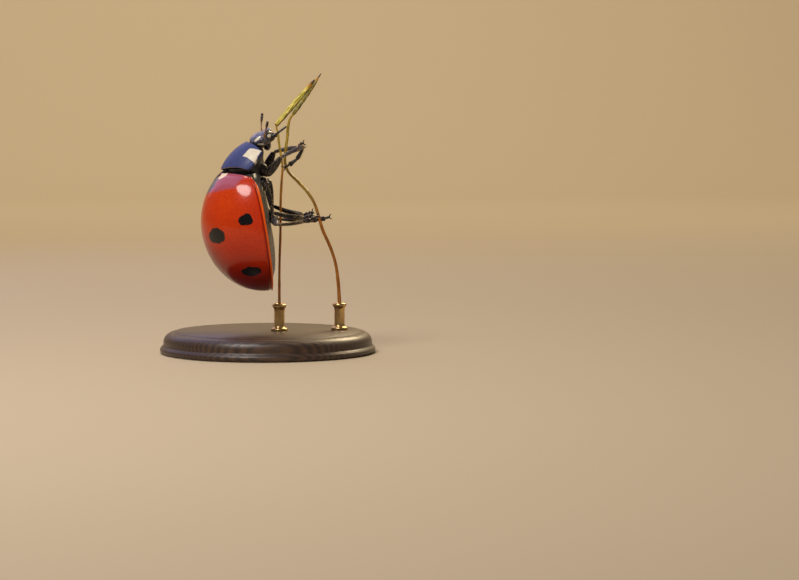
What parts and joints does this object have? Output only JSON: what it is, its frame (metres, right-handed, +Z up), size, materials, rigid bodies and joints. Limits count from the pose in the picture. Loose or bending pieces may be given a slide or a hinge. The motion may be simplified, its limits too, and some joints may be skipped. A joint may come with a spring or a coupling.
{
  "type": "seven-spot ladybird model",
  "caption": "Life-size still model of a red ladybird with black spots, climbing cut moss stalks that a flat display base and short rods hold up.",
  "frame": {"origin": "centre of the stand base's underside", "axes": "+Z up, along the object's greatest height; -Y towards the beetle's right side, +X towards its belly and the stalks"},
  "size_m": [0.01, 0.01, 0.013],
  "materials": {
    "wing_case": "glossy orange-red shell with black spots",
    "shield": "glossy black shell with ivory patches",
    "cuticle": "satin black, short pale hairs",
    "eye": "glossy black, finely faceted",
    "feeler": "satin brown with a dark club",
    "stalk": "satin orange-brown plant stalk",
    "capsule": "matt yellow-green, brown at the tip",
    "stand_board": "satin dark stained",
    "stand_rod": "satin"
  },
  "bodies": {
    "root": {"elytron_right": "wing_case", "elytron_left": "wing_case", "scutellum": "shield", "pronotum": "shield", "mesothorax": "cuticle", "metathorax": "cuticle", "abdomen_ring_1": "cuticle", "abdomen_ring_2": "cuticle", "abdomen_ring_3": "cuticle", "abdomen_ring_4": "cuticle", "abdomen_ring_5": "cuticle", "prothorax": "cuticle", "labrum": "cuticle", "head": "shield", "eye_right": "eye", "mandible_right": "cuticle", "antenna_right": "feeler", "maxillary_palp_right": "cuticle", "eye_left": "eye", "mandible_left": "cuticle", "antenna_left": "feeler", "maxillary_palp_left": "cuticle", "coxa_right_front": "cuticle", "femur_right_front": "cuticle", "tibia_right_front": "cuticle", "tarsus_right_front": "cuticle", "coxa_left_front": "cuticle", "femur_left_front": "cuticle", "tibia_left_front": "cuticle", "tarsus_left_front": "cuticle", "coxa_right_middle": "cuticle", "femur_right_middle": "cuticle", "tibia_right_middle": "cuticle", "tarsus_right_middle": "cuticle", "coxa_left_middle": "cuticle", "femur_left_middle": "cuticle", "tibia_left_middle": "cuticle", "tarsus_left_middle": "cuticle", "coxa_right_hind": "cuticle", "femur_right_hind": "cuticle", "tibia_right_hind": "cuticle", "tarsus_right_hind": "cuticle", "coxa_left_hind": "cuticle", "femur_left_hind": "cuticle", "tibia_left_hind": "cuticle", "tarsus_left_hind": "cuticle", "stalk_main": "stalk", "stalk_side": "stalk", "capsule_main": "capsule", "capsule_side": "capsule", "stand_base": "stand_board", "stand_rod_main": "stand_rod", "stand_rod_side": "stand_rod"}
  },
  "joints": []
}
